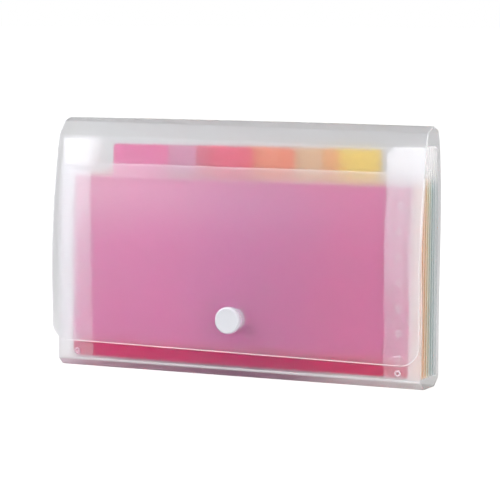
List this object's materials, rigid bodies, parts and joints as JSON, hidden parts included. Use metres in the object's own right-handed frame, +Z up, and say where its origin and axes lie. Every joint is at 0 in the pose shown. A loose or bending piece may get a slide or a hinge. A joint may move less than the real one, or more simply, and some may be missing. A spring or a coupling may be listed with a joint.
{
  "type": "expanding document file",
  "caption": "Small frosted plastic expanding file with a long front flap, a white press button, tinted tabbed dividers and pleated side gussets, closed and standing.",
  "frame": {"origin": "underside of the sole, midway along it and midway between the back panel and the front panel's top edge", "axes": "+X towards the file's right end, +Y from its front to its back, +Z up"},
  "size_m": [0.1876, 0.03, 0.1182],
  "materials": {
    "cover_sheet": "frosted clear sheet",
    "gusset_sheet": "thin milky sheet",
    "button_white": "moulded white, satin",
    "tint_pink": "tinted clear sheet",
    "tint_mauve": "tinted clear sheet",
    "tint_red": "tinted clear sheet",
    "tint_orange": "tinted clear sheet",
    "tint_tan": "tinted clear sheet",
    "tint_yellow": "tinted clear sheet"
  },
  "bodies": {
    "back_cover": {"back_panel": "cover_sheet", "bottom_back_strip": "cover_sheet", "bottom_strip": "cover_sheet", "bottom_front_strip": "cover_sheet", "shoulder_strip": "cover_sheet", "gusset_left": "gusset_sheet", "gusset_right": "gusset_sheet"},
    "front_cover": {"front_panel": "cover_sheet", "button_stud": "button_white", "button_backing": "button_white"},
    "top_cover": {"ridge_strip": "cover_sheet", "brow_strip": "cover_sheet", "temple_strip": "cover_sheet"},
    "flap": {"flap_panel": "cover_sheet", "button_cap": "button_white", "button_socket": "button_white"},
    "pink_leaf": {"divider_pink": "tint_pink"},
    "mauve_leaf": {"divider_mauve": "tint_mauve"},
    "red_leaf": {"divider_red": "tint_red"},
    "orange_leaf": {"divider_orange": "tint_orange"},
    "tan_leaf": {"divider_tan": "tint_tan"},
    "yellow_leaf": {"divider_yellow": "tint_yellow"}
  },
  "joints": [
    {"name": "flap_lift", "type": "hinge", "parent": "back_cover", "child": "top_cover", "pos_m": [0, 0.00695, 0.1154], "axis": [-1, 0, 0], "range_deg": [0, 150]},
    {"name": "flap_fold", "type": "hinge", "parent": "top_cover", "child": "flap", "pos_m": [0, -0.00916, 0.1093], "axis": [-1, 0, 0], "range_deg": [0, 110]},
    {"name": "front_fan", "type": "hinge", "parent": "back_cover", "child": "front_cover", "pos_m": [0, -0.01275, 0.0039], "axis": [1, 0, 0], "range_deg": [0, 33.1], "deforming": ["gusset_left", "gusset_right"]},
    {"name": "pink_fan", "type": "hinge", "parent": "back_cover", "child": "pink_leaf", "pos_m": [0, -0.01275, 0.0039], "axis": [1, 0, 0], "range_deg": [0, 31.3]},
    {"name": "mauve_fan", "type": "hinge", "parent": "back_cover", "child": "mauve_leaf", "pos_m": [0, -0.01275, 0.0039], "axis": [1, 0, 0], "range_deg": [0, 26.6]},
    {"name": "red_fan", "type": "hinge", "parent": "back_cover", "child": "red_leaf", "pos_m": [0, -0.01275, 0.0039], "axis": [1, 0, 0], "range_deg": [0, 20.1]},
    {"name": "orange_fan", "type": "hinge", "parent": "back_cover", "child": "orange_leaf", "pos_m": [0, -0.01275, 0.0039], "axis": [1, 0, 0], "range_deg": [0, 13.1]},
    {"name": "tan_fan", "type": "hinge", "parent": "back_cover", "child": "tan_leaf", "pos_m": [0, -0.01275, 0.0039], "axis": [1, 0, 0], "range_deg": [0, 6.7]},
    {"name": "yellow_fan", "type": "hinge", "parent": "back_cover", "child": "yellow_leaf", "pos_m": [0, -0.01275, 0.0039], "axis": [1, 0, 0], "range_deg": [0, 1.9]}
  ],
  "couplings": [
    {"joint": "front_fan", "follows": "flap_lift", "ratio": 0.22},
    {"joint": "pink_fan", "follows": "flap_lift", "ratio": 0.20781},
    {"joint": "mauve_fan", "follows": "flap_lift", "ratio": 0.17638},
    {"joint": "red_fan", "follows": "flap_lift", "ratio": 0.13341},
    {"joint": "orange_fan", "follows": "flap_lift", "ratio": 0.08659},
    {"joint": "tan_fan", "follows": "flap_lift", "ratio": 0.04361},
    {"joint": "yellow_fan", "follows": "flap_lift", "ratio": 0.01219}
  ]
}
